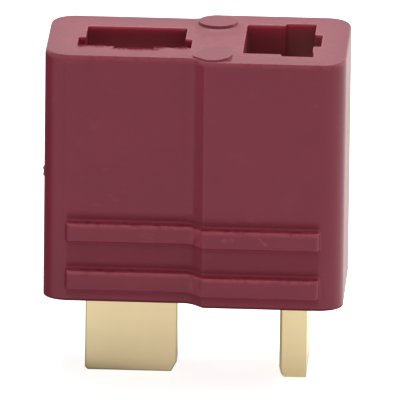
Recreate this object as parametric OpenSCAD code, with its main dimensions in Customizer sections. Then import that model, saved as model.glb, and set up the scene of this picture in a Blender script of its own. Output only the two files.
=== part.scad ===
// Socket half of a low-voltage power connector with two flat blades set in a T.
// It stands on its solder tabs, mating face up. X runs along the width, Y from front to back.

/* [Housing] */
// Width across both sockets
body_w = 16; // [15.4:0.1:19]
// Depth of the thick half, round the upright socket
thick_d = 9; // [8.6:0.1:11]
// Depth of the thin half, round the flat socket
thin_d = 7.5; // [7:0.1:8.2]
// Height of the moulding
body_h = 13.65; // [12:0.05:18]
// Plan radius of the four upright corners
corner_r = 1.35; // [0.8:0.05:1.8]
// Radius of the rounded top and bottom edges
edge_r = 0.13; // [0.05:0.01:0.4]
// Middle of the slanted step between the halves, right of the centre line
step_x = 0.2; // [-0.3:0.05:0.6]

/* [Grip ribs] */
// How many ribs run along each broad face
rib_count = 2; // [1:1:4]
// Height of one rib
rib_h = 1; // [0.6:0.05:1.6]
// Distance from one rib to the next
rib_pitch = 2.65; // [2:0.05:3.2]
// Underside of the lowest rib above the housing's underside
rib_low = 0.76; // [0.4:0.02:1.6]
// How far a rib stands out from the face
rib_out = 0.42; // [0.2:0.01:0.6]
// How far a rib stops short of the housing's side
rib_inset = 1.25; // [0.8:0.05:2.5]
// Radius of a rib's rounded edges
rib_edge_r = 0.1; // [0.05:0.01:0.2]
// Plan radius of a rib's ends
rib_end_r = 0.25; // [0.21:0.01:0.6]

/* [Sockets] */
// Width of the mating blade
blade_w = 5; // [4.6:0.05:5.2]
// Thickness of the mating blade
blade_t = 1.3; // [1:0.05:1.5]
// Free width left beside the blade
blade_play = 0.28; // [0.1:0.02:0.4]
// Room behind the blade for the pressed spring
spring_room = 0.75; // [0.6:0.05:1]
// Wall from the housing's face to the terminal's groove
groove_wall = 1.87; // [1.5:0.01:2.1]
// Wall beside the flat socket, at the housing's side
side_wall = 1.66; // [1.2:0.02:1.9]
// How far the upright socket sits behind the middle of the depth
upright_y = 0.1; // [-0.3:0.05:0.3]
// Thickness of the floor under the sockets
floor_t = 2; // [1.4:0.1:3]
// Width of the shallow key notch in the groove's outer wall
key_w = 2.1; // [1.4:0.1:3]
// Depth of the key notch
key_d = 0.36; // [0.2:0.02:0.5]

/* [Terminals] */
// Length of a solder tab below the housing
tab_len = 4.4; // [3:0.1:7]
// Width of a solder tab
tab_w = 4.9; // [4:0.05:5.2]
// Thickness of the terminal's sheet
plate_t = 1.45; // [1.1:0.05:1.5]
// Width of the plate inside the socket, over its barbs
plate_w = 5.9; // [5.8:0.05:6.4]
// Free width left beside the plate in its groove
plate_play = 0.12; // [0.06:0.02:0.2]
// Free depth left for the plate in its groove
groove_play = 0.15; // [0.06:0.01:0.3]
// Free room round a tab where it passes the floor
tab_play = 0.08; // [0.04:0.02:0.12]
// How far the plate stops below the mouth of the socket
plate_recess = 2; // [1.9:0.1:3]
// Barbs on each edge of the plate
barb_count = 2; // [1:1:3]
// How far a barb stands out from the plate's edge
barb_out = 0.12; // [0.06:0.02:0.2]
// Height of one barb
barb_h = 1.1; // [0.6:0.1:1.6]
// Clipped corner of the tab, across its width
clip_w = 0.3; // [0.1:0.05:0.8]
// Clipped corner of the tab, along its length
clip_h = 0.56; // [0.2:0.02:1]
// Chamfer on the tab's other corner and on the plate's top corners
corner_c = 0.14; // [0.06:0.02:0.3]
// Thickness taken off by the bevel on the tab's tip
tip_bevel_t = 0.13; // [0.06:0.01:0.4]
// Length of that bevel
tip_bevel_h = 0.55; // [0.2:0.05:1.2]
// Thickness taken off by the blade's lead-in at the plate's top
lead_t = 0.4; // [0.2:0.05:0.7]
// Length of that lead-in
lead_h = 0.6; // [0.3:0.05:1.2]

/* [Contact springs] */
// Thickness of the spring strip
spring_t = 0.25; // [0.15:0.01:0.4]
// Width of the spring strip
spring_w = 4.6; // [3.6:0.1:4.8]
// How far the relaxed spring reaches into the blade's path
spring_bite = 0.45; // [0.2:0.05:0.6]
// How far the spring stops below the mouth of the socket
spring_recess = 2; // [1.7:0.1:3]
// Length of the flat foot at each end, along the wall
foot_h = 1; // [0.6:0.1:1.5]
// Depth of the pocket in the floor that holds the spring's toe
toe_h = 1; // [0.5:0.1:1.2]
// Free room round the toe in its pocket
toe_play = 0.04; // [0.02:0.01:0.1]

/* [Moulding marks] */
// Diameter of the raised ejector marks on the mating face
eject_dia = 2.1; // [1.6:0.1:2.2]
// Height of the ejector marks
eject_out = 0.1; // [0.05:0.01:0.2]
// Ejector marks right of the centre line
eject_x = 0.9; // [0.7:0.05:1]
// Ejector marks in front of and behind the centre line
eject_y = 3.1; // [2.9:0.05:3.2]
// Width of the cut-off gate on the thin half's side
gate_w = 0.7; // [0.6:0.1:2]
// Height of the cut-off gate
gate_h = 0.55; // [0.4:0.05:1.2]
// How far the gate stands out
gate_out = 0.22; // [0.06:0.02:0.3]
// Middle of the gate above the housing's underside
gate_z = 6.1; // [4:0.1:8]

/* [Hidden] */
$fn = 64;

// How far a cutting shape runs past the surface it opens
slack = 0.5;
// How far the two halves of a stepped slab run into each other
lap = 1.5;
// How deep an edge's arc is centred, as a multiple of the rounding
round_in = 1.3;
// Rounding of the slanted step's edges, as a multiple of that of the straight ones
step_round = 1.15;

// Heights above the tips of the solder tabs
floor_z = tab_len + floor_t;
mouth_z = tab_len + body_h;

// Section of a socket: a groove for the plate, then a narrower channel for blade and spring
groove_w = plate_w + plate_play;
groove_d = plate_t + groove_play;
channel_w = blade_w + blade_play;
channel_d = blade_t + spring_room;

// Middle of each socket where groove and channel meet
flat_pos = [-body_w / 2 + side_wall + groove_w / 2, -thin_d / 2 + groove_wall + groove_d, 0];
upright_pos = [body_w / 2 - groove_wall - groove_d, upright_y, 0];

// Plate inside its groove
plate_y = -groove_d / 2;
plate_top = mouth_z - plate_recess;
plate_edge = plate_w / 2 - barb_out;
barb_pitch = (plate_top - floor_z) / (barb_count + 1);

// Bow of the spring: an arc that runs into the middle of a flat foot at each end
spring_top = mouth_z - spring_recess;
strip_y = channel_d - spring_t / 2;
bow_half = (spring_top - floor_z) / 2 - foot_h;
bow_h = spring_room + spring_bite - spring_t;
bow_r = (bow_half ^ 2 + bow_h ^ 2) / (2 * bow_h);
crest_z = floor_z + foot_h + bow_half;

housing_red = [0.49, 0.22, 0.27];
gold = [0.86, 0.76, 0.55];
spring_gold = [0.8, 0.66, 0.4];

module both_sides() {
    children();
    mirror([0, 1, 0]) children();
}

// Section that rounding over by r takes off a square corner pointing to +X +Y.
// The arc is a little flat, so that it meets both faces at a clear line.
module round_over(r) {
    centre = round_in * r;
    difference() {
        translate([-r, -r]) square(r + slack);
        translate([-centre, -centre]) circle(norm([centre, centre - r]));
    }
}

// Section of a wall of height h that faces +X at x = w, with a rounded top and bottom edge
module rim_section(w, h, edge) {
    difference() {
        square([w, h]);
        translate([w, h]) round_over(edge);
        translate([w, 0]) mirror([0, 1]) round_over(edge);
    }
}

// What lies outside such a wall that faces +X at x = 0, as far out as reach
module rim_waste(reach, h, edge) {
    difference() {
        translate([-2 * edge, -slack]) square([2 * edge + reach, h + 2 * slack]);
        translate([-3 * edge, 0]) rim_section(3 * edge, h, edge);
    }
}

// Block from x = 0 to its end at x = reach, which has two rounded corners
module end_block(reach, d, h, corner, edge) {
    rotate([90, 0, 90]) linear_extrude(reach - corner) {
        rim_section(d / 2, h, edge);
        mirror([1, 0]) rim_section(d / 2, h, edge);
    }
    translate([reach - corner, d / 2 - corner, 0]) rotate([90, 0, 0])
        linear_extrude(d - 2 * corner) rim_section(corner, h, edge);
    both_sides() translate([reach - corner, d / 2 - corner, 0])
        rotate_extrude(angle = 90) rim_section(corner, h, edge);
}

// Slab with the housing's stepped outline, grown outwards: the body itself, or a rib round it
module stepped_slab(w, grow, h, corner, edge) {
    thin = thin_d + 2 * grow;
    thick = thick_d + 2 * grow;
    run = (thick - thin) / 2;
    middle = step_x - grow * tan(22.5);
    start = middle - run / 2 - lap;
    slope = (run + lap + slack) * sqrt(2);
    mirror([1, 0, 0]) translate([-middle, 0, 0]) end_block(w / 2 + middle, thin, h, corner, edge);
    difference() {
        translate([start, 0, 0]) end_block(w / 2 - start, thick, h, corner, edge);
        both_sides() translate([middle + run / 2, thick / 2, 0]) rotate(45) translate([-slope, 0, 0])
            rotate([90, 0, 90]) linear_extrude(slope + slack) rim_waste(slope, h, step_round * edge);
    }
}

// Puts a shape drawn for a socket at the origin into the flat socket or the upright one
module in_flat_socket() {
    translate(flat_pos) children();
}

module in_upright_socket() {
    translate(upright_pos) rotate(90) children();
}

// Everything that one socket opens in the housing
module socket_cut() {
    translate([0, 0, floor_z]) linear_extrude(body_h) {
        translate([-channel_w / 2, 0]) square([channel_w, channel_d]);
        translate([-groove_w / 2, -groove_d]) square([groove_w, groove_d]);
        translate([-key_w / 2, -groove_d - key_d]) square([key_w, groove_d]);
    }
    translate([-(tab_w + tab_play) / 2, plate_y - (plate_t + tab_play) / 2, tab_len - slack])
        cube([tab_w + tab_play, plate_t + tab_play, floor_t + 2 * slack]);
    translate([-spring_w / 2 - toe_play, channel_d - spring_t - toe_play, floor_z - toe_h])
        cube([spring_w + 2 * toe_play, spring_t + toe_play, toe_h + slack]);
}

module housing() {
    color(housing_red) difference() {
        union() {
            translate([0, 0, tab_len]) {
                stepped_slab(body_w, 0, body_h, corner_r, edge_r);
                for (i = [0 : rib_count - 1])
                    translate([0, 0, rib_low + i * rib_pitch])
                        stepped_slab(body_w - 2 * rib_inset, rib_out, rib_h, rib_end_r, rib_edge_r);
                translate([-body_w / 2 - gate_out, -gate_w / 2, gate_z - gate_h / 2])
                    cube([gate_out + slack, gate_w, gate_h]);
            }
            both_sides() translate([eject_x, eject_y, mouth_z - slack])
                cylinder(d = eject_dia, h = slack + eject_out);
        }
        in_flat_socket() socket_cut();
        in_upright_socket() socket_cut();
    }
}

// Outline of a terminal seen from its broad side, tab tip at the bottom
function barbs() = [
    for (i = [1 : barb_count])
        let (z = floor_z + i * barb_pitch)
            each [[plate_edge, z - barb_h], [plate_edge + barb_out, z], [plate_edge, z]]
];

function plate_side(clip_x, clip_z) = concat(
    [[tab_w / 2 - clip_x, 0], [tab_w / 2, clip_z], [tab_w / 2, floor_z], [plate_edge, floor_z]],
    barbs(),
    [[plate_edge, plate_top - corner_c], [plate_edge - corner_c, plate_top]]
);

function flipped(side) = [for (i = [len(side) - 1 : -1 : 0]) [-side[i][0], side[i][1]]];

module terminal() {
    outline = concat(plate_side(clip_w, clip_h), flipped(plate_side(corner_c, corner_c)));
    front = plate_y - plate_t / 2;
    back = plate_y + plate_t / 2;
    section = [
        [front, 0], [back - tip_bevel_t, 0], [back, tip_bevel_h],
        [back, plate_top - lead_h], [back - lead_t, plate_top], [front, plate_top]
    ];
    color(gold) intersection() {
        translate([0, back, 0]) rotate([90, 0, 0]) linear_extrude(plate_t) polygon(outline);
        rotate([90, 0, 90]) linear_extrude(2 * plate_w, center = true) polygon(section);
    }
}

// Side view of the spring: x from front to back, y upwards
module spring_section() {
    translate([channel_d - spring_t, floor_z - toe_h]) square([spring_t, toe_h + foot_h]);
    translate([channel_d - spring_t, spring_top - foot_h]) square([spring_t, foot_h]);
    intersection() {
        translate([strip_y - bow_h + bow_r, crest_z]) difference() {
            circle(bow_r + spring_t / 2, $fn = 256);
            circle(bow_r - spring_t / 2, $fn = 256);
        }
        translate([0, floor_z]) square([channel_d, spring_top - floor_z]);
    }
}

module contact_spring() {
    color(spring_gold) rotate([90, 0, 90]) linear_extrude(spring_w, center = true) spring_section();
}

module flat_terminal() {
    in_flat_socket() terminal();
}

module upright_terminal() {
    in_upright_socket() terminal();
}

module flat_contact_spring() {
    in_flat_socket() contact_spring();
}

module upright_contact_spring() {
    in_upright_socket() contact_spring();
}

housing();
flat_terminal();
upright_terminal();
flat_contact_spring();
upright_contact_spring();
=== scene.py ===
import math

import bmesh
import bpy
from mathutils import Matrix, Vector


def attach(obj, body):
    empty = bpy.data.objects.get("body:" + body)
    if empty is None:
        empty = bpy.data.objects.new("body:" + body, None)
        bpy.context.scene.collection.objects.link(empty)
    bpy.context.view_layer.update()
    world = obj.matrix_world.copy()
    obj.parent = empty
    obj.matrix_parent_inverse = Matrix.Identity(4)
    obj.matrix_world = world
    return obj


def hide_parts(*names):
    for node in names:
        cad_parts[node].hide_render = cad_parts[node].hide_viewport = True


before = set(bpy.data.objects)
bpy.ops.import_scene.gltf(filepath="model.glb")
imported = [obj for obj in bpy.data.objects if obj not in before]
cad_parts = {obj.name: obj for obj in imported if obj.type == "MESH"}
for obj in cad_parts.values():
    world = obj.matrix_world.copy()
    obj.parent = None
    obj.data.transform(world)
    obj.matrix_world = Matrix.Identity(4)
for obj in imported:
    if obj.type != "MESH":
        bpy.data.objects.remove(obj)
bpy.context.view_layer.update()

# Housing: one injection moulding in dark red nylon. A thin half and a thick half meet at a slanted
# step, two grip ribs run along each broad face, and two keyed blade sockets open at the top. The
# torn-off gate on the left side and the two ejector marks on top are left as they came from the tool.

# Sizes are in millimetres in the CAD's frame: x to the right, y to the back, z up from the tabs' tips
MM = 0.001

# Body: half width, half depths of the thin and the thick half, underside, top and upright corners
half_w = 8.0
thin_y = 3.75
thick_y = 4.5
base_z = 4.4
mouth_z = 18.05
corner_r = 1.35

# Rims: the top one falls by rim_drop over its width, the lower one is rounded and tighter at the
# sides, and the flat faces start just inside them
rim_r = 0.13
rim_drop = 0.3
low_rim_r = 0.2
side_rim_cut = 0.7
rim_gap = 0.01
rim_in = rim_r + rim_gap

# Step: where its slope of 45 degrees starts and ends, and how its corners are rounded and mitred
step_foot = -0.175
step_head = 0.575
step_foot_r = 0.8
step_head_r = 0.2
step_mitre = math.tan(math.radians(22.5))


def spread(start, end, count):
    """Evenly spaced numbers from start to end, both included."""
    return [start + (end - start) * i / count for i in range(count + 1)]


def clamp(value):
    """The value, held between 0 and 1."""
    return max(0.0, min(1.0, value))


def edge_rise(inside, fillet, rounding, flank):
    """Share of a raised form's height by the distance inside its edge: fillet, flank, rounded edge."""
    if inside <= -fillet:
        return 0.0
    if inside < 0.0:
        return flank * ((inside + fillet) / fillet) ** 3
    if inside < rounding:
        return flank + (1.0 - flank) * math.sqrt(1.0 - (1.0 - inside / rounding) ** 2)
    return 1.0


# Ribs: underside and height of each, and the profile of their long edges and of their ends
ribs = ((5.165, 1.055), (7.83, 1.02))
rib_out = 0.42
rib_fillet = 0.16
rib_flank = 0.7
rib_round = 0.1
rib_crown = 0.1
rib_end = 6.75
rib_end_flank = 0.24
rib_end_round = 0.25
rib_end_clear = 0.15

# Where an edge profile needs a row of points, as distances inside the edge, and where the painted
# shade beside a rib needs one, as distances outside it
rib_rows = [-0.16, -0.12, -0.085, -0.055, -0.03, -0.012, 0.0, 0.008, 0.03, 0.062, 0.1, 0.15]
rib_columns = [-0.16, -0.1, -0.05, 0.0, 0.012, 0.04, 0.09, 0.16, 0.25, 0.31]
shade_rows_below = (0.52, 0.4, 0.3, 0.22)
shade_rows_above = (0.22, 0.3, 0.4, 0.52, 0.65)

# Marks on the ribs, by the distance inside their edges: rubbing with a painted highlight on the
# upper edge, rubbing on the lower edge, and painted shade in the creases above, below and between
# the ribs
rub_middle = 0.05
rub_outwards = 0.15
highlight_inwards = 0.22
low_edge_rub = 0.2
low_edge_reach = 0.1
shade_start = 0.04
shade_build = 0.16
shade_reach = 0.65
shade_fade = 0.45
shade_below = 0.6
shade_between = 0.4
between_gap = 0.2


def rib_rise(z):
    """Share of the rib's height at z, its edge's rub and painted highlight, and its painted shade."""
    inside, low, tall = max((min(z - low, low + tall - z), low, tall) for low, tall in ribs)
    rise = edge_rise(inside, rib_fillet, rib_round, rib_flank)
    off_middle = (z - low) / tall - 0.5
    rise *= 1.0 - rib_crown * min(1.0, 2.0 * abs(off_middle)) ** 2
    off_edge = abs(inside - rub_middle)
    # Painted shade in the crease above a rib, weaker below it, and between the ribs
    shade_and_tear = clamp(min((inside + shade_reach) / shade_fade, (-shade_start - inside) / shade_build))
    if off_middle > 0.0:
        # The upper edge's rub reaches into the rib's face as a painted highlight
        rub_and_highlight = max(0.0, 1.0 - off_edge / (rub_outwards if inside < rub_middle else highlight_inwards))
    else:
        rub_and_highlight = low_edge_rub * max(0.0, 1.0 - off_edge / low_edge_reach)
        shade_and_tear *= shade_below
    if sum(ribs[0]) + between_gap < z < ribs[1][0] - between_gap:
        shade_and_tear = max(shade_and_tear, shade_between)
    return rise, rub_and_highlight, shade_and_tear


def rib_share(x):
    """Share of the rib's height at x along the face, down to 0 past the rib's end."""
    return edge_rise(rib_end - abs(x), rib_fillet, rib_end_round, rib_end_flank)


# Gate stub: its middle, half sizes and height, its torn peaks as place across and up, spread across
# and up, and height, the fine tear on its face, and its sides, which start outside it and slope
gate_z = 10.5
gate_half_y = 0.35
gate_half_z = 0.275
gate_out = 0.155
gate_peaks = ((-0.08, 0.18, 0.2, 0.1, 0.05), (0.05, -0.22, 0.25, 0.09, 0.055))
gate_tear = 0.012
gate_tear_rates = (23.0, 19.0)
gate_tear_phase = 4.0
gate_skirt = 0.03
gate_side = 0.08


def gate_rise(y, z):
    """How far the torn gate stands out of the left side: a low stub with two broken peaks."""
    inside = min(gate_half_y - abs(y), gate_half_z - abs(z - gate_z))
    stub = clamp((inside + gate_skirt) / gate_side)
    out = gate_out
    for across, up, wide, tall, height in gate_peaks:
        out += height * math.exp(-(((z - gate_z - up) / tall) ** 2) - ((y - across) / wide) ** 2)
    along, upwards = gate_tear_rates
    return stub * (out + gate_tear * math.sin(along * y + gate_tear_phase) * math.sin(upwards * z))


def arc_points(before, at, after, radius, count):
    """Points that round off the corner at, on the way from before to after."""
    to_before = (before - at).normalized()
    to_after = (after - at).normalized()
    half_angle = to_before.angle(to_after) / 2
    reach = radius / math.tan(half_angle)
    middle = at + (to_before + to_after).normalized() * radius / math.sin(half_angle)
    start = at + to_before * reach - middle
    end = at + to_after * reach - middle
    points = []
    for share in spread(0.0, 1.0, count):
        points.append(middle + start.lerp(end, share).normalized() * radius)
    return points


def corner_column(side, deep, turn):
    """Column on the left or right upright corner, by its turn in degrees from the side to the front."""
    across = math.cos(math.radians(turn))
    forward = math.sin(math.radians(turn))
    x = side * (half_w - corner_r + corner_r * across)
    y = -deep + corner_r - corner_r * forward
    return (x, y), (-side * across, forward), 0.0, 0.0


def face_column(x, deep):
    """Column on a broad face, which bends back where the upright corner has begun."""
    past = max(0.0, abs(x) - half_w + corner_r)
    drop = corner_r - math.sqrt(corner_r**2 - past**2)
    inward = (-math.copysign(past / corner_r, x), math.sqrt(1.0 - (past / corner_r) ** 2))
    return (x, -deep + drop), inward, rib_share(x), 0.0


# Columns of the plan, as places from the middle: along the left side, close together over the gate,
# along the right side and along both broad faces, and as shares of the step's slope
left_side_columns = spread(0.0, 0.28, 6) + [0.31, 0.34, 0.37, 0.4, 0.6, 1.0, 1.4, 1.8, 2.2, 2.34]
right_side_columns = (3.08, 2.9, 2.3, 1.7, 1.1, 0.5, 0.0)
thin_face_columns = spread(-6.2, -0.6, 16)
thick_face_columns = spread(0.8, 6.2, 16)
slope_columns = (0.12, 0.4, 0.6, 0.88)
corner_steps = 12


def front_columns():
    """Plan of the front half from the left side's middle to the right side's middle.

    Each column has its point, the direction in which a rim goes in, the rib's share and how sharp the
    upright edge is.
    """
    columns = []
    for y in left_side_columns:
        columns.append(((-half_w, -y), (1.0, 0.0), 0.0, 0.0))
    rib_stop = rib_end + rib_end_clear - half_w + corner_r
    last_turn = 90.0 - math.degrees(math.asin(rib_stop / corner_r))
    columns += [corner_column(-1.0, thin_y, turn) for turn in spread(0.0, last_turn, corner_steps)]
    left_run = [-rib_end + d for d in rib_columns] + thin_face_columns
    columns += [face_column(x, thin_y) for x in left_run]
    foot = Vector((step_foot, -thin_y))
    head = Vector((step_head, -thick_y))
    steps = 6
    foot_arc = arc_points(Vector((-half_w, -thin_y)), foot, head, step_foot_r, steps)
    head_arc = arc_points(foot, head, Vector((half_w, -thick_y)), step_head_r, steps)
    for i, point in enumerate(foot_arc):
        columns.append((tuple(point), (step_mitre * i / steps, 1.0), 1.0, 0.0))
    for share in slope_columns:
        point = foot_arc[-1].lerp(head_arc[0], share)
        columns.append((tuple(point), (step_mitre, 1.0), 1.0, 0.0))
    for i, point in enumerate(head_arc):
        sharp = 1.0 - abs(i - steps / 2) / (steps / 2)
        columns.append((tuple(point), (step_mitre * (steps - i) / steps, 1.0), 1.0, sharp))
    right_run = thick_face_columns + [rib_end - d for d in reversed(rib_columns)]
    columns += [face_column(x, thick_y) for x in right_run]
    columns += [corner_column(1.0, thick_y, turn) for turn in spread(last_turn, 0.0, corner_steps)]
    for y in right_side_columns:
        columns.append(((half_w, -y), (-1.0, 0.0), 0.0, 0.0))
    return columns


# Rows up the outside: round both rims, across a rib's front as shares of its height, on the plain
# wall below, over and above the gate, and just under the top rim
low_rim_steps = 9
rim_steps = 8
rib_front_rows = (0.25, 0.4, 0.5, 0.6, 0.75)
rows_below_gate = [9.6, 10.1]
gate_row_half = 0.315
gate_row_steps = 18
rows_above_gate = [11.1] + spread(11.6, 17.6, 12)
under_rim_gap = 0.05


def wall_rows():
    """Heights of the rows of points up the outside, with the rim's inset and how sharp the rim is."""
    rows = []
    for turn in spread(0.0, 90.0, low_rim_steps):
        a = math.radians(turn)
        z = base_z + low_rim_r * (1.0 - math.cos(a))
        rows.append((z, low_rim_r * (1.0 - math.sin(a)), math.sin(2 * a)))
    heights = []
    for low, tall in ribs:
        heights += [low - d for d in shade_rows_below]
        heights += [low + d for d in rib_rows]
        heights += [low + tall * share for share in rib_front_rows]
        heights += [low + tall - d for d in reversed(rib_rows)]
        heights += [low + tall + d for d in shade_rows_above]
    heights += rows_below_gate
    heights += spread(gate_z - gate_row_half, gate_z + gate_row_half, gate_row_steps)
    heights += rows_above_gate + [mouth_z - rim_drop - under_rim_gap]
    rows += [(z, 0.0, 0.0) for z in heights]
    for turn in spread(90.0, 0.0, rim_steps):
        a = math.radians(turn)
        z = mouth_z - rim_drop * (1.0 - math.cos(a))
        rows.append((z, rim_r * (1.0 - math.sin(a)), math.sin(2 * a)))
    return rows


def ring(bm, points, z, edge_layer, sharp):
    """One closed row of points in the plane z, with how sharp the edge is at each of them."""
    made = []
    for point, value in zip(points, sharp):
        vert = bm.verts.new((point[0], point[1], z))
        vert[edge_layer] = value
        made.append(vert)
    return made


def shade(verts, layer, values):
    """Gives each point of a row its value in a layer, such as how deep in a crease it lies."""
    for vert, value in zip(verts, values):
        vert[layer] = value


def skin(bm, rings):
    """Quads between one closed row of points and the next."""
    for low, high in zip(rings, rings[1:]):
        for i in range(len(low)):
            bm.faces.new((low[i - 1], low[i], high[i], high[i - 1]))


def cap(bm, loops):
    """Fills a flat face inside its outer loop and outside its holes."""
    edges = []
    for loop in loops:
        for i in range(len(loop)):
            edge = bm.edges.get((loop[i - 1], loop[i]))
            edges.append(edge or bm.edges.new((loop[i - 1], loop[i])))
    bmesh.ops.triangle_fill(bm, use_beauty=True, edges=edges)


# Sockets: their places and one outline seen from above, with a notch at its front, then the groove
# for the terminal and the channel for the mating blade
flat_socket = (-3.33, -0.28)
upright_socket = (4.53, 0.1)
socket_corners = [
    (-1.05, -1.96), (1.05, -1.96), (1.05, -1.6), (3.01, -1.6), (3.01, 0.0), (2.64, 0.0),
    (2.64, 2.05), (-2.64, 2.05), (-2.64, 0.0), (-3.01, 0.0), (-3.01, -1.6), (-1.05, -1.6),
]
socket_front = -1.96
plan_r = 0.1
plan_gap = 0.09
floor_z = 6.4
floor_gap = 0.03
wall_heights = (17.97, 17.93, 17.88, 17.8, 17.72, 17.65, 17.2, 16.0, 14.0, 11.5, 9.0, 7.2)

# In the socket's floor: the pocket for the spring's toe and the slot for the solder tab
toe_half = 2.34
toe_front = 1.76
toe_back = 2.04
toe_z = 5.4
slot_half = 2.49
slot_front = -1.565
slot_back = -0.035

# Socket mouths: the lips' rounding and rubbing, how deep their wear goes, the flat socket's torn
# front lip with its whiskers (place, width and length) and burr, and the worn lips at the back
mouth_r = 0.06
mouth_gap = 0.03
mouth_rub = 0.3
lip_depth = 0.3
lip_reach = 0.5
torn_rings = (0.36, 0.22)
torn_reach = 0.3
torn_depth = 0.1
torn_rub_loss = 0.7
flash_reach = 0.2
whiskers = ((-1.17, 0.06, 0.08), (-0.43, 0.07, 0.1))
burr_h = 0.1
back_wear = 0.045
back_wear_depth = 0.2

# Ripples of the torn lip, as height and then rate and phase of two waves that beat together, and
# where along the lip the tearing fades out
flash_waves = ((0.035, 5.1, 0.8, 2.3, 1.9), (0.04, 17.0, 0.0, 11.3, 2.0))
torn_waves = ((0.5, 3.7, 0.4, 1.9, 1.2), (0.45, 13.0, 1.0, 8.3, 0.0))
torn_middle = 0.6
torn_half = 3.0
torn_end = 0.1

# The upright socket's right lip: where the notch and the wall beside it lie, how far each is worn
# back, and where the wear on the wall starts and is full
notch_x = 6.3
right_wall_x = 6.0
notch_wear = 0.06
front_wear = 0.1
front_wear_y = -1.7
front_wear_run = 0.7

# Tone inside the sockets: painted light, a brighter red on the walls below the lips, strongest on
# the back walls and also on the torn lip's burr, and a painted pale sheen on the walls
glow_start = 0.02
flat_glow_depth = 0.4
upright_glow_depth = 0.6
burr_glow = 0.4
flat_sheen = 0.12
upright_sheen = 0.47
groove_sheen = 0.3
groove_build = 8.0


def grown(corners, grow):
    """Corners of an outline that runs counterclockwise, moved outwards by grow."""
    moved = []
    for i, at in enumerate(corners):
        before = Vector(corners[i - 1])
        after = Vector(corners[(i + 1) % len(corners)])
        at = Vector(at)
        way_in = (at - before).normalized()
        way_out = (after - at).normalized()
        out_in = Vector((way_in.y, -way_in.x))
        out_out = Vector((way_out.y, -way_out.x))
        moved.append(at + (out_in + out_out) * grow / (1.0 + out_in.dot(out_out)))
    return moved


# Corners of an outline that turn by less than this, in radians, get no arc
slight_turn = 0.2


def rounded_loop(corners, grow, radius, gap, turns=3):
    """Points round an outline with rounded corners; the count doesn't change with grow."""
    moved = grown(corners, grow)
    total = len(corners)
    arcs = []
    for i in range(total):
        before, at, after = moved[i - 1], moved[i], moved[(i + 1) % total]
        nearly_straight = (at - before).angle(after - at) < slight_turn
        arcs.append([at] if nearly_straight else arc_points(before, at, after, radius, turns))
    points = []
    for i in range(total):
        points += arcs[i]
        length = (Vector(corners[(i + 1) % total]) - Vector(corners[i])).length
        parts = max(1, round(length / gap))
        for share in spread(0.0, 1.0, parts)[1:-1]:
            points.append(arcs[i][-1].lerp(arcs[(i + 1) % total][0], share))
    return points


def waves(x, rows, middle=0.0):
    """Uneven ripple along x about a middle, from pairs of waves."""
    for height, rate, phase, other_rate, other_phase in rows:
        middle += height * (math.sin(rate * x + phase) * math.sin(other_rate * x + other_phase))
    return middle


def lip_flash(x, y):
    """How far the ragged front lip of the flat socket stands into the opening at x."""
    if abs(y - socket_front) > lip_reach:
        return 0.0
    whisker = sum(out * math.exp(-(((x - at) / wide) ** 2)) for at, wide, out in whiskers)
    return waves(x, flash_waves) + whisker


def lip_torn(x, y):
    """How torn the front lip of the flat socket is at x, from 0 to 1."""
    if abs(y - socket_front) > lip_reach:
        return 0.0
    ends = clamp((torn_half - abs(x)) / torn_end)
    return ends * clamp(waves(x, torn_waves, torn_middle))


def worn_right(x, y):
    """How far the right lip of the upright socket is worn back, along its notch and near the front."""
    if x > notch_x:
        return notch_wear
    if x > right_wall_x:
        return front_wear * clamp((front_wear_y - y) / front_wear_run)
    return 0.0


def back_share(points):
    """How squarely each point of an outline lies on an edge at the back of the part, from 0 to 1."""
    shares = []
    for i in range(len(points)):
        way = (points[(i + 1) % len(points)] - points[i - 1]).normalized()
        shares.append(max(0.0, -way.x) ** 4)
    return shares


def socket_levels(ragged):
    """Rows of points down a socket, as the outline's growth, height, edge sharpness and burr height."""
    levels = [(grow, mouth_z, mouth_rub, 0.0) for grow in torn_rings] if ragged else []
    levels.append((mouth_r + mouth_gap, mouth_z, mouth_rub, 0.0))
    for roll in spread(0.0, 90.0, 4):
        a = math.radians(roll)
        grow = mouth_r * (1.0 - math.sin(a))
        crest = burr_h * math.cos(a) ** 0.5 if ragged and 0.0 < roll < 90.0 else 0.0
        levels.append((grow, mouth_z - mouth_r * (1.0 - math.cos(a)), 1.0, crest))
    for z in wall_heights + (floor_z + floor_gap, floor_z):
        levels.append((0.0, z, 0.0, 0.0))
    return levels


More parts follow.
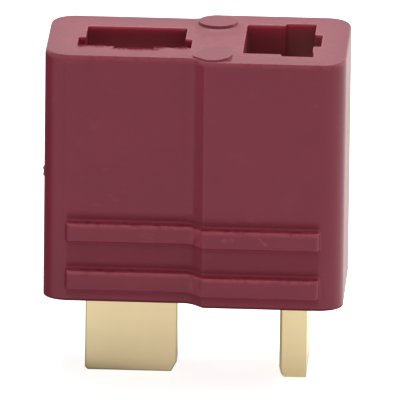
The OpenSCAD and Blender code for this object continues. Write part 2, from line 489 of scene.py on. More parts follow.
def socket(bm, layers, turn, place, ragged):
    """One keyed blade socket, from its mouth to its floor, its toe pocket and its tab slot.

    A ragged one has the torn front lip, the other one the worn right lip. Gives back the mouth's loop
    in the top face and the tab slot's loop in the underside.
    """
    edge_layer, shade_and_tear_layer, thin_layer, painted_sheen_layer = layers

    def at(points):
        turned = Matrix.Rotation(turn, 2)
        return [turned @ Vector(p) + Vector(place) for p in points]

    rings = []
    for grow, z, sharp, crest in socket_levels(ragged):
        below = mouth_z - z
        outline = rounded_loop(socket_corners, grow, plan_r, plan_gap)
        torn = [0.0] * len(outline)
        if ragged and below < torn_depth and grow < torn_reach:
            torn = [lip_torn(p.x, p.y) for p in outline]
        if ragged and below < lip_depth and grow < flash_reach:
            outline = [Vector((p.x, p.y + lip_flash(p.x, p.y))) for p in outline]
        # Painted pale sheen on the walls, most in the upright socket beside its groove, and how deep the
        # painted light below the lips reaches
        if ragged:
            painted_sheen = [flat_sheen] * len(outline)
            glow_depth = flat_glow_depth
        else:
            painted_sheen = [upright_sheen + groove_sheen * clamp(-groove_build * p.y) for p in outline]
            glow_depth = upright_glow_depth
        outline = at(outline)
        if not ragged and below < lip_depth:
            lip = 1.0 - below / lip_depth
            outline = [Vector((p.x + lip * worn_right(p.x, p.y), p.y)) for p in outline]
        shares = back_share(outline)
        worn = back_wear * max(0.0, 1.0 - below / back_wear_depth) ** 2
        points = [Vector((p.x, p.y + worn * share)) for p, share in zip(outline, shares)]
        row = ring(bm, points, z, edge_layer, [sharp * (1.0 - torn_rub_loss * tear) for tear in torn])
        shade(row, shade_and_tear_layer, torn)
        # Painted light: a brighter red below the lips, most on the back walls, and on the torn lip's
        # burr; the painted sheen builds up below the lip
        lip_glow = max(0.0, 1.0 - below / glow_depth) ** 1.5 if below > glow_start else 0.0
        crest_glow = burr_glow if crest > 0.0 else 0.0
        glow = [lip_glow * share + crest_glow * tear for share, tear in zip(shares, torn)]
        shade(row, thin_layer, glow)
        shade(row, painted_sheen_layer, [clamp(below / lip_depth) * value for value in painted_sheen])
        for vert, tear in zip(row, torn):
            vert.co.z += crest * tear
        rings.append(row)
    skin(bm, list(reversed(rings)))
    still = [0.0] * 4
    pocket = at([
        (toe_half, toe_back),
        (-toe_half, toe_back),
        (-toe_half, toe_front),
        (toe_half, toe_front),
    ])
    pocket_low = ring(bm, pocket, toe_z, edge_layer, still)
    pocket_high = ring(bm, pocket, floor_z, edge_layer, still)
    skin(bm, [pocket_low, pocket_high])
    bm.faces.new(pocket_low)
    slot = at([
        (-slot_half, slot_front),
        (slot_half, slot_front),
        (slot_half, slot_back),
        (-slot_half, slot_back),
    ])
    slot_high = ring(bm, slot, floor_z, edge_layer, still)
    slot_low = ring(bm, slot, base_z, edge_layer, still)
    skin(bm, [slot_low, slot_high])
    cap(bm, [rings[-1], slot_high, pocket_high])
    return rings[0], slot_low


# Ejector marks: radius, place across, and for each its place, height and tilt; they stop short of the
# step's rim and of the front rim
pad_r = 1.05
pad_x = 0.9
pad_spots = ((-3.3, 0.125, 0.35), (2.84, 0.16, 0.0))
pad_points = 48
pad_step_gap = 0.03
pad_front_gap = 0.02


def ejector_pad(bm, edge_layer, y, out, tilt):
    """One raised ejector mark, cut off where it meets the rim; gives back its loop in the top face.

    Its rows of points have the outline's growth, the height and how rubbed the edge is.
    """
    levels = [(0.012, 0.0, 0.0), (0.004, 0.006, 0.0), (0.0, 0.02, 0.0), (-0.005, out - 0.03, 0.1)]
    levels += [(-0.015, out - 0.009, 0.7), (-0.04, out, 0.5), (-0.08, out, 0.0)]
    rings = []
    for grow, rise, sharp in levels:
        points = []
        for i in range(pad_points):
            a = math.radians(i * 360 / pad_points)
            px = pad_x + (pad_r + grow) * math.cos(a)
            py = y + (pad_r + grow) * math.sin(a)
            step_y = -(px - step_foot - step_mitre * rim_in) - thin_y + rim_in
            past_step = step_y + pad_step_gap - grow - py
            if past_step > 0.0:
                px += past_step / 2
                py += past_step / 2
            py = max(py, -thick_y + rim_in + pad_front_gap - grow)
            points.append((px, py))
        rings.append(ring(bm, points, mouth_z, edge_layer, [sharp] * pad_points))
        for vert in rings[-1]:
            vert.co.z += rise * (1.0 + tilt * (vert.co.x - pad_x) / pad_r)
    skin(bm, rings)
    bm.faces.new(rings[-1])
    return rings[0]


# Rubbing on the rims and on the step's upright edge, painted light on the ribs where they cross the
# step, and painted shade where the lower rim turns under
top_rim_rub = 0.5
low_rim_rub = 0.1
step_edge_rub = 0.12
step_rib_painted_light = 0.4
step_rib_half = 0.42
under_shade = 1.9
under_build = 20.0


def set_in(columns, inset):
    """Points of the plan, moved in by the inset."""
    return [(x + inward[0] * inset, y + inward[1] * inset) for (x, y), inward, share, sharp in columns]


def build_housing():
    """The whole moulding as one closed skin.

    Its layers tell the material how each point is marked: one holds rubbing on edges and painted
    highlights and light, one painted shade in creases and under the lower rim and the torn lip's darker
    tone, one painted light below the lips and on the burr, and one a painted pale sheen on the sockets'
    walls.
    """
    bm = bmesh.new()
    layers = [bm.verts.layers.float.new(name) for name in ("edge", "shade_and_tear", "thin", "painted_sheen")]
    edge_layer, shade_and_tear_layer = layers[:2]
    columns = front_columns()
    for (x, y), inward, share, sharp in list(reversed(columns[1:-1])):
        columns.append(((x, -y), (inward[0], -inward[1]), share, sharp))
    rings = []
    for z, inset, rim_sharp in wall_rows():
        rise, rib_rub_and_highlight, rib_painted_shade = rib_rise(z)
        turned_under = z < base_z + low_rim_r
        rim_rub = (low_rim_rub if turned_under else top_rim_rub) * rim_sharp
        # Painted shade where the lower rim turns under
        under = under_shade * min(1.0, under_build * inset / low_rim_r) if turned_under else 0.0
        points = []
        heights = []
        edge_marks = []
        painted_shades = []
        for (x, y), inward, share, sharp in columns:
            tight = 1.0 - side_rim_cut * inward[0] ** 2 if turned_under else 1.0
            out = math.copysign(rib_out * rise * share, y)
            stub = gate_rise(y, z) if x <= -half_w else 0.0
            points.append((x + inward[0] * inset * tight - stub, y + inward[1] * inset * tight + out))
            heights.append(base_z + (z - base_z) * tight)
            # Painted light on the ribs where they cross the step
            on_step = max(0.0, 1.0 - abs(x - (step_foot + step_head) / 2) / step_rib_half)
            step_rib_lit = step_rib_painted_light * rise * min(1.0, 2.0 * on_step)
            edge_marks.append(max(rim_rub, rib_rub_and_highlight * share, step_edge_rub * sharp, step_rib_lit))
            painted_shades.append(max(rib_painted_shade * share, under))
        rings.append(ring(bm, points, z, edge_layer, edge_marks))
        shade(rings[-1], shade_and_tear_layer, painted_shades)
        for vert, height in zip(rings[-1], heights):
            vert.co.z = height
    still = [0.0] * len(columns)
    rings.insert(0, ring(bm, set_in(columns, low_rim_r + rim_gap), base_z, edge_layer, still))
    rings.append(ring(bm, set_in(columns, rim_in), mouth_z, edge_layer, still))
    skin(bm, rings)
    flat_mouth, flat_slot = socket(bm, layers, 0.0, flat_socket, True)
    upright_mouth, upright_slot = socket(bm, layers, math.pi / 2, upright_socket, False)
    pads = [ejector_pad(bm, edge_layer, *spot) for spot in pad_spots]
    cap(bm, [rings[-1], flat_mouth, upright_mouth] + pads)
    cap(bm, [rings[0], flat_slot, upright_slot])
    return bm


# Edges that turn by more than this are drawn sharp
sharp_angle = math.radians(42)


def finish_mesh(name, bm, node, material):
    """Turns the points and faces into a piece that stands for its CAD node."""
    bmesh.ops.recalc_face_normals(bm, faces=bm.faces)
    bmesh.ops.transform(bm, matrix=Matrix.Scale(MM, 4), verts=bm.verts)
    mesh = bpy.data.meshes.new(name)
    bm.to_mesh(mesh)
    bm.free()
    mesh.shade_smooth()
    mesh.set_sharp_from_angle(angle=sharp_angle)
    mesh.materials.append(material)
    piece = bpy.data.objects.new(name, mesh)
    bpy.context.collection.objects.link(piece)
    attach(piece, "root")
    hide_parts(node)
    return piece


def add_node(tree, kind, values=None, **settings):
    """One shader node, with its settings and the values or links of its inputs."""
    made = tree.nodes.new(kind)
    for name, value in settings.items():
        setattr(made, name, value)
    for name, value in (values or {}).items():
        if isinstance(value, bpy.types.NodeSocket):
            tree.links.new(value, made.inputs[name])
        else:
            made.inputs[name].default_value = value
    return made


def calc(tree, operation, *values, **settings):
    """Result of one sum, product or other step on plain values."""
    made = add_node(tree, "ShaderNodeMath", dict(enumerate(values)), operation=operation, **settings)
    return made.outputs[0]


def ramp(tree, value, start, end, low=0.0, high=1.0, **settings):
    """A value that goes from low to high while the given one goes from start to end."""
    given = {"Value": value, "From Min": start, "From Max": end, "To Min": low, "To Max": high}
    return add_node(tree, "ShaderNodeMapRange", given, **settings).outputs[0]


def mixed(tree, share, under, over):
    """A colour that goes from under to over by the share."""
    made = add_node(tree, "ShaderNodeMix", {"Factor": share, 6: under, 7: over}, data_type="RGBA")
    return made.outputs[2]


def noise(tree, where, scale, detail):
    """Soft noise, with its scale per metre."""
    return add_node(tree, "ShaderNodeTexNoise", {"Vector": where, "Scale": scale, "Detail": detail})


def on_piece(tree):
    """Place on the piece in metres."""
    return add_node(tree, "ShaderNodeTexCoord").outputs["Object"]


def layer_value(tree, name):
    """Value that the mesh holds in one of its layers."""
    return add_node(tree, "ShaderNodeAttribute", attribute_name=name).outputs["Fac"]


def new_group(name, inputs, outputs):
    """An empty node group with named inputs and outputs, given as (name, socket type)."""
    group = bpy.data.node_groups.new(name, "ShaderNodeTree")
    for label, kind in inputs:
        group.interface.new_socket(label, in_out="INPUT", socket_type=kind)
    for label, kind in outputs:
        group.interface.new_socket(label, in_out="OUTPUT", socket_type=kind)
    given = group.nodes.new("NodeGroupInput").outputs
    result = group.nodes.new("NodeGroupOutput").inputs
    return group, given, result


def tone_drift_group():
    """Slow drift of a colour over the surface, as a batch of plastic or plating has."""
    group, given, result = new_group(
        "Tone drift",
        [
            ("Colour", "NodeSocketColor"),
            ("Size per metre", "NodeSocketFloat"),
            ("Amount", "NodeSocketFloat"),
        ],
        [("Colour", "NodeSocketColor")],
    )
    cloud = noise(group, on_piece(group), given["Size per metre"], 3.0)
    centred = calc(group, "SUBTRACT", cloud.outputs["Fac"], 0.5)
    swing = calc(group, "MULTIPLY_ADD", centred, given["Amount"], 1.0)
    toned = add_node(group, "ShaderNodeHueSaturation", {"Value": swing, "Color": given["Colour"]})
    group.links.new(toned.outputs["Color"], result["Colour"])
    return group


def edge_rub_and_highlight_group():
    """Broken mask along the edges that the mesh marks as sharp, for rubbing, and on the housing also
    painted highlights.
    """
    group, given, result = new_group(
        "Edge rub and highlight",
        [("Size per metre", "NodeSocketFloat"), ("Cover", "NodeSocketFloat")],
        [("Mask", "NodeSocketFloat")],
    )
    speck = noise(group, on_piece(group), given["Size per metre"], 4.0)
    lifted = calc(group, "ADD", speck.outputs["Fac"], given["Cover"])
    broken = ramp(group, lifted, 0.75, 1.05, interpolation_type="SMOOTHSTEP")
    mask = calc(group, "MULTIPLY", broken, layer_value(group, "edge"))
    group.links.new(mask, result["Mask"])
    return group


def fine_grain_group():
    """Fine grain for height and roughness, drawn out along an axis by the stretch."""
    group, given, result = new_group(
        "Fine grain",
        [("Stretch", "NodeSocketVector"), ("Size per metre", "NodeSocketFloat")],
        [("Height", "NodeSocketFloat")],
    )
    drawn = add_node(
        group,
        "ShaderNodeVectorMath",
        {0: on_piece(group), 1: given["Stretch"]},
        operation="MULTIPLY",
    )
    grain = noise(group, drawn.outputs[0], given["Size per metre"], 5.0)
    grain.inputs["Roughness"].default_value = 0.6
    group.links.new(grain.outputs["Fac"], result["Height"])
    return group


def handling_marks_group():
    """Sparse faint smears and scratches, as a part gets in a drawer."""
    group, given, result = new_group(
        "Handling marks",
        [("Size per metre", "NodeSocketFloat"), ("Amount", "NodeSocketFloat")],
        [("Mask", "NodeSocketFloat")],
    )
    where = on_piece(group)
    patch = noise(group, where, given["Size per metre"], 2.0)
    sparse = ramp(group, patch.outputs["Fac"], 0.58, 0.7)
    turned = add_node(
        group,
        "ShaderNodeMapping",
        {"Vector": where, "Rotation": (0.0, 0.35, 0.2), "Scale": (0.2, 1.0, 1.0)},
    )
    streak = noise(group, turned.outputs[0], 6000.0, 3.0)
    lines = ramp(group, streak.outputs["Fac"], 0.5, 0.68)
    mask = calc(group, "MULTIPLY", calc(group, "MULTIPLY", sparse, lines), given["Amount"])
    group.links.new(mask, result["Mask"])
    return group


tone_drift = tone_drift_group()
edge_rub_and_highlight = edge_rub_and_highlight_group()
fine_grain = fine_grain_group()
handling_marks = handling_marks_group()


def effect(tree, group, values):
    """One of the shared effects, with this material's own values; gives back its output."""
    return add_node(tree, "ShaderNodeGroup", values, node_tree=group).outputs[0]


def new_material(name):
    """An empty material; gives back it, its node tree and its output's surface socket."""
    material = bpy.data.materials.new(name)
    material.use_nodes = True
    tree = material.node_tree
    tree.nodes.clear()
    return material, tree, tree.nodes.new("ShaderNodeOutputMaterial").inputs["Surface"]


# Scuffs on the upper front rib: place, half sizes and turn about y of each, frayed by noise
scuff_fray = 0.5
scuffs = (
    ((3.98, -4.68, 8.58), (0.42, 0.5, 0.09), 0.69),
    ((4.16, -4.68, 8.43), (0.16, 0.5, 0.1), 0.5),
    ((1.92, -4.68, 8.59), (0.24, 0.5, 0.12), 0.1),
    ((2.38, -4.68, 8.62), (0.14, 0.5, 0.14), 0.0),
)

# Nylon: its colour as moulded, with painted shade that also darkens the torn lip, with a painted pale
# sheen, with painted light, rubbed with painted highlights, marked and scuffed, how far the painted
# shade and the scuffs cover it, how much rougher its painted shade and torn lip make it, and its own
# roughness
nylon_red = (0.21, 0.0095, 0.032, 1.0)
shade_and_tear_dark = (0.03, 0.003, 0.006, 1.0)
painted_sheen_pale = (0.23, 0.05, 0.06, 1.0)
painted_light_red = (0.52, 0.016, 0.05, 1.0)
rub_and_highlight_pink = (0.37, 0.05, 0.08, 1.0)
mark_pink = (0.3, 0.1, 0.1, 1.0)
scuff_pink = (0.37, 0.055, 0.105, 1.0)
shade_and_tear_tone = 0.27
scuff_cover = 0.38
shade_and_tear_dull = 0.47
nylon_smoothest = 0.35
nylon_roughest = 0.43


def scuffed(tree, colour):
    """The colour with the pale scuffs on the upper front rib, each a blob with a frayed edge."""
    where = on_piece(tree)
    ragged = noise(tree, where, 5500.0, 2.0)
    frayed = add_node(
        tree,
        "ShaderNodeVectorMath",
        {0: ragged.outputs["Color"], 1: (scuff_fray * MM,) * 3, 2: where},
        operation="MULTIPLY_ADD",
    )
    for place, half, turn in scuffs:
        spot = add_node(
            tree,
            "ShaderNodeMapping",
            {
                "Vector": frayed.outputs[0],
                "Location": Vector(place) * MM,
                "Rotation": (0.0, turn, 0.0),
                "Scale": Vector(half) * MM,
            },
            vector_type="TEXTURE",
        )
        blob = add_node(
            tree,
            "ShaderNodeTexGradient",
            {"Vector": spot.outputs[0]},
            gradient_type="SPHERICAL",
        )
        pale = ramp(tree, blob.outputs["Fac"], 0.0, 0.6, 0.0, scuff_cover)
        colour = mixed(tree, pale, colour, scuff_pink)
    return colour


def moulded_red():
    """Satin dark red nylon: faint flow clouds, tool grain, painted shade in creases, pale rubbing and
    painted highlights on edges.
    """
    material, tree, surface = new_material("Moulded dark red nylon")
    flow = {"Colour": nylon_red, "Size per metre": 420.0, "Amount": 0.22}
    colour = effect(tree, tone_drift, flow)
    # Painted shade in creases and under the lower rim, also darkening the torn lip
    shade_and_tear = layer_value(tree, "shade_and_tear")
    colour = mixed(tree, calc(tree, "MULTIPLY", shade_and_tear, shade_and_tear_tone), colour, shade_and_tear_dark)
    # Painted pale sheen on the sockets' walls
    colour = mixed(tree, layer_value(tree, "painted_sheen"), colour, painted_sheen_pale)
    # Painted light below the sockets' lips and on the burr
    colour = mixed(tree, layer_value(tree, "thin"), colour, painted_light_red)
    # Rubbing on edges, with painted highlights on the ribs and painted light where they cross the step
    rub_and_highlight_mask = effect(tree, edge_rub_and_highlight, {"Size per metre": 2600.0, "Cover": 0.5})
    colour = mixed(tree, rub_and_highlight_mask, colour, rub_and_highlight_pink)
    marked = effect(tree, handling_marks, {"Size per metre": 900.0, "Amount": 0.11})
    colour = mixed(tree, marked, colour, mark_pink)
    colour = scuffed(tree, colour)
    grain = effect(tree, fine_grain, {"Stretch": (1.0, 1.0, 1.0), "Size per metre": 14000.0})
    gloss = ramp(tree, grain, 0.3, 0.7, nylon_smoothest, nylon_roughest)
    dull = calc(tree, "MULTIPLY_ADD", shade_and_tear, shade_and_tear_dull, gloss, use_clamp=True)
    bump = add_node(tree, "ShaderNodeBump", {"Height": grain, "Strength": 0.25, "Distance": 0.00001})
    shader = add_node(
        tree,
        "ShaderNodeBsdfPrincipled",
        {"Base Color": colour, "Roughness": dull, "Normal": bump.outputs[0], "IOR": 1.5},
    )
    tree.links.new(shader.outputs[0], surface)
    return material


finish_mesh("moulded_housing", build_housing(), "housing", moulded_red())

# Terminals: two equal stampings from thick brass sheet, gold plated. Barbs on the edges hold the plate
# in its groove, and the solder tab passes through the floor. The punch leaves one broad side with
# rolled edges; the other side's edges are only tumbled.

# Outline: the tab, the plate above it with its barbs, the clip at the tab's tip and the cut corners
tab_half = 2.45
plate_half = 2.83
plate_top = 16.05
barb_tip = 2.95
barb_tops = (9.617, 12.833)
barb_h = 1.1
clip_w = 0.3
clip_h = 0.56
corner_cut = 0.14
outline_r = 0.03
outline_gap = 0.5

# Across the sheet: its broad faces, the bevel at the tab's tip, the lead-in at the top and the edges
sheet_front = -1.525
sheet_back = -0.075
tip_bevel_t = 0.13
tip_bevel_h = 0.55
lead_t = 0.4
lead_h = 0.6
tumbled_r = 0.09
rolled_in = 0.2
rolled_r = 0.15
rolled_fullness = 1.5
edge_gap = 0.03

# Plating: each terminal's tone, the flat one's a little lighter as painted light, the duller tone of
# worn edges, the roughness, how far the grain takes it down and up, and the way the rolling marks run
flat_lit_tone = (0.88, 0.72, 0.43, 1.0)
upright_tone = (0.85, 0.695, 0.4, 1.0)
worn_tone = (0.58, 0.51, 0.35, 1.0)
plate_rough = 0.33
smoother_by = 0.05
rougher_by = 0.07
rolled_along_width = (0.12, 1.0, 1.0)
rolled_along_depth = (1.0, 0.12, 1.0)


def terminal_side(cut_w, cut_h):
    """Right-hand edge of a terminal from the tab's tip to the plate's top."""
    side = [(tab_half - cut_w, 0.0), (tab_half, cut_h), (tab_half, floor_z), (plate_half, floor_z)]
    for top in barb_tops:
        side += [(plate_half, top - barb_h), (barb_tip, top), (plate_half, top)]
    return side + [(plate_half, plate_top - corner_cut), (plate_half - corner_cut, plate_top)]


def stamped_rows(front, back, front_r, back_r, back_in, fullness):
    """Rows of points across a sheet, as inset, depth and edge sharpness, with both edges rounded.

    A fullness of 1 rounds the back edge as an ellipse, and more than 1 flattens it towards a chamfer.
    """
    rows = [(front_r + edge_gap, front, 0.0)]
    for turn in spread(0.0, 90.0, 4):
        a = math.radians(turn)
        depth = front + front_r * (1.0 - math.cos(a))
        rows.append((front_r * (1.0 - math.sin(a)), depth, math.sin(2 * a)))
    rows += [(0.0, front + front_r + edge_gap, 0.0), (0.0, back - back_r - edge_gap, 0.0)]
    for turn in spread(90.0, 0.0, 5):
        a = math.radians(turn)
        inset = back_in * (1.0 - math.sin(a) ** fullness)
        depth = back - back_r * (1.0 - max(0.0, math.cos(a)) ** fullness)
        rows.append((inset, depth, math.sin(2 * a)))
    return rows + [(back_in + edge_gap, back, 0.0)]


def stamping(corners, rows, radius, gap, place):
    """Closed mesh of a sheet piece: its outline, row by row across the sheet, and both broad faces."""
    bm = bmesh.new()
    edge_layer = bm.verts.layers.float.new("edge")
    rings = []
    for inset, depth, sharp in rows:
        made = []
        for point in rounded_loop(corners, -inset, radius, gap, 2):
            vert = bm.verts.new(place(point.x, point.y, depth))
            vert[edge_layer] = sharp
            made.append(vert)
        rings.append(made)
    skin(bm, rings)
    bm.faces.new(rings[0])
    bm.faces.new(rings[-1])
    return bm


def into_socket(bm, turn, spot):
    """Turns a piece about the upright axis and sets it in its socket."""
    place = Matrix.Translation((spot[0], spot[1], 0.0)) @ Matrix.Rotation(turn, 4, "Z")
    bmesh.ops.transform(bm, matrix=place, verts=bm.verts)
    return bm


def build_terminal(turn, spot):
    """One terminal in its socket, with the bevel on its tip and the lead-in at its top."""
    left = [(-x, z) for x, z in reversed(terminal_side(corner_cut, corner_cut))]
    outline = terminal_side(clip_w, clip_h) + left
    rows = stamped_rows(sheet_front, sheet_back, tumbled_r, rolled_r, rolled_in, rolled_fullness)
    bm = stamping(outline, rows, outline_r, outline_gap, lambda x, z, y: Vector((x, y, z)))
    for height in (tip_bevel_h, plate_top - lead_h):
        everything = bm.verts[:] + bm.edges[:] + bm.faces[:]
        bmesh.ops.bisect_plane(
            bm, geom=everything, dist=1e-6, plane_co=(0.0, 0.0, height), plane_no=(0.0, 0.0, 1.0)
        )
    for vert in bm.verts:
        x, y, z = vert.co
        share = (y - sheet_front) / (sheet_back - sheet_front)
        cut = tip_bevel_t * max(0.0, 1.0 - z / tip_bevel_h)
        cut += lead_t * max(0.0, 1.0 - (plate_top - z) / lead_h)
        vert.co.y -= cut * share
    return into_socket(bm, turn, spot)


def plated_gold(name, tone, rub_tone, stretch, rough):
    """Gold plating: rolling marks along the sheet, soft tarnish, worn edges."""
    material, tree, surface = new_material(name)
    colour = effect(tree, tone_drift, {"Colour": tone, "Size per metre": 300.0, "Amount": 0.16})
    rub_and_highlight_mask = effect(tree, edge_rub_and_highlight, {"Size per metre": 3200.0, "Cover": 0.65})
    colour = mixed(tree, rub_and_highlight_mask, colour, rub_tone)
    grain = effect(tree, fine_grain, {"Stretch": stretch, "Size per metre": 9000.0})
    gloss = ramp(tree, grain, 0.3, 0.7, rough - smoother_by, rough + rougher_by)
    bump = add_node(tree, "ShaderNodeBump", {"Height": grain, "Strength": 0.2, "Distance": 0.000008})
    shader = add_node(
        tree,
        "ShaderNodeBsdfPrincipled",
        {"Base Color": colour, "Roughness": gloss, "Normal": bump.outputs[0], "Metallic": 1.0},
    )
    tree.links.new(shader.outputs[0], surface)
    return material


flat_gold = plated_gold(
    "Gold plate rolled along the width", flat_lit_tone, worn_tone, rolled_along_width, plate_rough
)
upright_gold = plated_gold(
    "Gold plate rolled along the depth", upright_tone, worn_tone, rolled_along_depth, plate_rough
)
finish_mesh(
    "flat_plated_terminal",
    build_terminal(0.0, flat_socket),
    "flat_terminal",
    flat_gold,
)
finish_mesh(
    "upright_plated_terminal",
    build_terminal(math.pi / 2, upright_socket),
    "upright_terminal",
    upright_gold,
)

# Contact springs: bowed leaves of thin spring bronze, gold flashed. Each stands with its toe in a pocket
# of the socket's floor and its feet on the wall, and presses the mating blade on the terminal.
leaf_t = 0.25
leaf_half = 2.3
leaf_top = 16.05
leaf_foot = 1.0
leaf_back = 2.05
bow_h = 0.95
leaf_edge_r = 0.03
leaf_corner_r = 0.01
leaf_gap = 5.0

# Rows of points up the bow, and those that divide the leaf's straight ends
bow_steps = 28
row_over_toe = 0.6
row_over_floor = 0.4
row_under_top = 0.5

flash_tone = (0.72, 0.5, 0.24, 1.0)
flash_rub_tone = (0.8, 0.58, 0.3, 1.0)
flash_rough = 0.28
drawn_along_height = (1.0, 1.0, 0.15)


def leaf_middle():
    """Points up the middle of the leaf's thickness, seen from its side as depth and height."""
    strip = leaf_back - leaf_t / 2
    low = floor_z + leaf_foot
    high = leaf_top - leaf_foot
    half = (high - low) / 2
    radius = (half**2 + bow_h**2) / (2 * bow_h)
    points = [(strip, toe_z), (strip, toe_z + row_over_toe), (strip, floor_z + row_over_floor)]
    for share in spread(-1.0, 1.0, bow_steps):
        rise = share * half
        depth = strip - bow_h + radius - math.sqrt(radius**2 - rise**2)
        points.append((depth, low + half + rise))
    return points + [(strip, leaf_top - row_under_top), (strip, leaf_top)]


def build_spring(turn, spot):
    """One leaf in its socket, with its punched edges slightly broken."""
    middle = [Vector(p) for p in leaf_middle()]
    front_side = []
    back_side = []
    for i, point in enumerate(middle):
        way = (middle[min(i + 1, len(middle) - 1)] - middle[max(i - 1, 0)]).normalized()
        out = Vector((way.y, -way.x)) * leaf_t / 2
        back_side.append(tuple(point + out))
        front_side.append(tuple(point - out))
    outline = back_side + list(reversed(front_side))
    rows = stamped_rows(-leaf_half, leaf_half, leaf_edge_r, leaf_edge_r, leaf_edge_r, 1.0)
    bm = stamping(outline, rows, leaf_corner_r, leaf_gap, lambda y, z, x: Vector((x, y, z)))
    return into_socket(bm, turn, spot)


spring_gold = plated_gold(
    "Gold flash on spring bronze", flash_tone, flash_rub_tone, drawn_along_height, flash_rough
)
finish_mesh(
    "flat_leaf_spring",
    build_spring(0.0, flat_socket),
    "flat_contact_spring",
    spring_gold,
)
finish_mesh(
    "upright_leaf_spring",
    build_spring(math.pi / 2, upright_socket),
    "upright_contact_spring",
    spring_gold,
)

# Ground and light, in metres: a plain white ground that the tabs stand on, an even white room, soft
# lamps above the back and at the right, and a dark card for the left edge. What the part mirrors of
# the ground has painted shade at the left and a painted shadow under the part, which also darken the
# light it throws back, and painted light, brighter and warmer, behind on the right.
floor_half = 0.2
paper_white = (0.75, 0.75, 0.75, 1.0)
paper_dark = (0.1, 0.1, 0.1, 1.0)
paper_kept = 0.25
pure_white = (1.0, 1.0, 1.0, 1.0)
warm_white = (1.0, 1.0, 0.8, 1.0)
card_dark = (0.1, 0.1, 0.1, 1.0)
card_x = -0.03
card_front = -0.004
card_back = 0.06
card_low = 0.0005
card_high = 0.012
room_light = 0.62
lamp_aim = Vector((0.0, 0.0, 0.01))

# Where the ground's look in a mirror changes, as the places where each change starts and is full;
# behind is by the angle round the part's front right corner, in radians
right_run_x = (-0.007, 0.002)
under_run_y = (-0.0038, -0.0022)
apart_run_x = (-0.008, -0.014)
beside_run_y = (-0.01, -0.002)
rear_run_y = (-0.004, 0.012)
behind_run = (0.15, 1.2)
corner_right = 0.008
corner_front = 0.0035

# Light that the ground gives off: always, straight to the camera, wherever it is seen, and behind
# on the right
ground_light = 0.1
camera_light = 0.4
seen_light = 0.18
rear_light = 0.52


def shown(tree, path):
    """1 for what is seen straight, in a mirror or through glass, and 0 for light on its way."""
    seen = calc(tree, "MAXIMUM", path["Is Camera Ray"], path["Is Glossy Ray"])
    return calc(tree, "MAXIMUM", seen, path["Is Transmission Ray"])


def white_ground():
    """Pale ground that looks white, keeps a soft shadow and is open from below."""
    material, tree, surface = new_material("White ground")
    path = add_node(tree, "ShaderNodeLightPath").outputs
    mirrored = calc(tree, "SUBTRACT", 1.0, path["Is Camera Ray"])
    place = add_node(tree, "ShaderNodeSeparateXYZ", {0: on_piece(tree)}).outputs
    right = ramp(tree, place["X"], *right_run_x)
    left = calc(tree, "SUBTRACT", 1.0, right)
    under = calc(tree, "MULTIPLY", ramp(tree, place["Y"], *under_run_y), left)
    apart = ramp(tree, place["X"], *apart_run_x)
    beside = calc(tree, "MULTIPLY", ramp(tree, place["Y"], *beside_run_y), apart)
    # Painted shadow under the part and painted shade at the left, for all but camera rays
    dark = calc(tree, "MULTIPLY", calc(tree, "MAXIMUM", under, beside), mirrored)
    # Painted light, brighter and warmer, behind the part on the right
    past_side = calc(tree, "SUBTRACT", place["X"], corner_right)
    past_front = calc(tree, "ADD", place["Y"], corner_front)
    behind = ramp(tree, calc(tree, "ARCTAN2", past_front, past_side), *behind_run)
    rear = ramp(tree, place["Y"], *rear_run_y)
    rear_right = calc(tree, "MULTIPLY", calc(tree, "MULTIPLY", behind, right), rear)
    bright = calc(tree, "MULTIPLY_ADD", rear_right, rear_light, seen_light)
    lift = calc(tree, "MULTIPLY_ADD", path["Is Camera Ray"], camera_light, ground_light)
    lift = calc(tree, "MULTIPLY_ADD", shown(tree, path), bright, lift)
    lift = calc(tree, "MULTIPLY", lift, ramp(tree, dark, 0.0, 1.0, 1.0, paper_kept))
    paper = mixed(tree, dark, paper_white, paper_dark)
    matte = add_node(tree, "ShaderNodeBsdfDiffuse", {"Color": paper})
    tint = mixed(tree, calc(tree, "MULTIPLY", rear_right, mirrored), pure_white, warm_white)
    glow = add_node(tree, "ShaderNodeEmission", {"Color": tint, "Strength": lift})
    both = add_node(tree, "ShaderNodeAddShader", {0: matte.outputs[0], 1: glow.outputs[0]})
    below = add_node(tree, "ShaderNodeNewGeometry").outputs["Backfacing"]
    clear = add_node(tree, "ShaderNodeBsdfTransparent").outputs[0]
    side = add_node(tree, "ShaderNodeMixShader", {0: below, 1: both.outputs[0], 2: clear})
    tree.links.new(side.outputs[0], surface)
    return material


def stage_sheet(name, corners, material):
    """One flat sheet of the studio, which is no part of the object."""
    mesh = bpy.data.meshes.new(name)
    mesh.from_pydata(corners, [], [tuple(range(len(corners)))])
    mesh.materials.append(material)
    sheet = bpy.data.objects.new(name, mesh)
    bpy.context.collection.objects.link(sheet)
    return sheet


stage_sheet(
    "ground",
    [
        (-floor_half, -floor_half, 0.0),
        (floor_half, -floor_half, 0.0),
        (floor_half, floor_half, 0.0),
        (-floor_half, floor_half, 0.0),
    ],
    white_ground(),
)

black_card, card_tree, card_surface = new_material("Black card")
card_shade = add_node(card_tree, "ShaderNodeBsdfDiffuse", {"Color": card_dark})
card_tree.links.new(card_shade.outputs[0], card_surface)
card = stage_sheet(
    "left_card",
    [
        (card_x, card_front, card_low),
        (card_x, card_back, card_low),
        (card_x, card_back, card_high),
        (card_x, card_front, card_high),
    ],
    black_card,
)
card.visible_camera = False

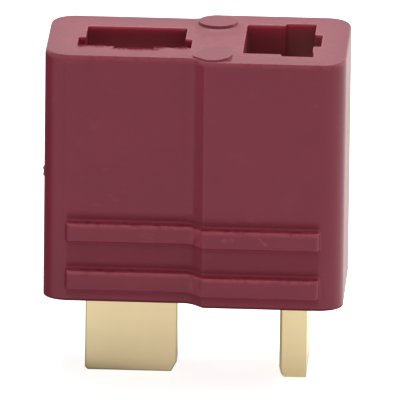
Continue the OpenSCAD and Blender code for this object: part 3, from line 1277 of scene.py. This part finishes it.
world = bpy.data.worlds.new("White room")
bpy.context.scene.world = world
world.use_nodes = True
room = world.node_tree
room_shown = shown(room, add_node(room, "ShaderNodeLightPath").outputs)
room_level = ramp(room, room_shown, 0.0, 1.0, room_light, 1.0)
room.nodes["Background"].inputs["Color"].default_value = pure_white
room.links.new(room_level, room.nodes["Background"].inputs["Strength"])


def soft_lamp(name, place, width, height, power):
    """One soft box, turned towards the part."""
    data = bpy.data.lights.new(name, "AREA")
    data.shape = "RECTANGLE"
    data.size = width
    data.size_y = height
    data.energy = power
    lamp = bpy.data.objects.new(name, data)
    lamp.location = place
    lamp.rotation_euler = (lamp_aim - lamp.location).to_track_quat("-Z", "Y").to_euler()
    bpy.context.collection.objects.link(lamp)


soft_lamp("back_lamp", place=(0.02, 0.07, 0.17), width=0.14, height=0.1, power=0.212)
soft_lamp("right_lamp", place=(0.18, 0.06, 0.06), width=0.12, height=0.1, power=0.06)

# Camera: a long lens from a little above and a little to the right, rolled by a fraction of a degree.
# Its frame is 400 pixels wide, and it aims near the part's middle, moved a little right and up.
view_turn = math.radians(2.76)
view_lift = math.radians(17.3)
view_roll = math.radians(0.67)
view_far = 800.0
picture_pixels = 400
pixels_per_mm = 18.778
frame_width = picture_pixels / pixels_per_mm
sensor_width = 36.0
aim = Vector((0.0, 0.0, 8.74))
aim_right = 0.1757
aim_up = 0.2982

back = Vector((
    math.sin(view_turn) * math.cos(view_lift),
    -math.cos(view_turn) * math.cos(view_lift),
    math.sin(view_lift),
))
level = Vector((math.cos(view_turn), math.sin(view_turn), 0.0))
upright = back.cross(level)
right = level * math.cos(view_roll) + upright * math.sin(view_roll)
up = upright * math.cos(view_roll) - level * math.sin(view_roll)
camera_data = bpy.data.cameras.new("camera")
camera_data.sensor_width = sensor_width
camera_data.lens = sensor_width * view_far / frame_width
camera_data.clip_start = 0.05
camera_data.clip_end = 5.0
camera = bpy.data.objects.new("camera", camera_data)
bpy.context.collection.objects.link(camera)
place = (aim + back * view_far + right * aim_right + up * aim_up) * MM
camera.matrix_world = Matrix((
    (right.x, up.x, back.x, place.x),
    (right.y, up.y, back.y, place.y),
    (right.z, up.z, back.z, place.z),
    (0.0, 0.0, 0.0, 1.0),
))
bpy.context.scene.camera = camera
bpy.context.scene.view_settings.view_transform = "Standard"
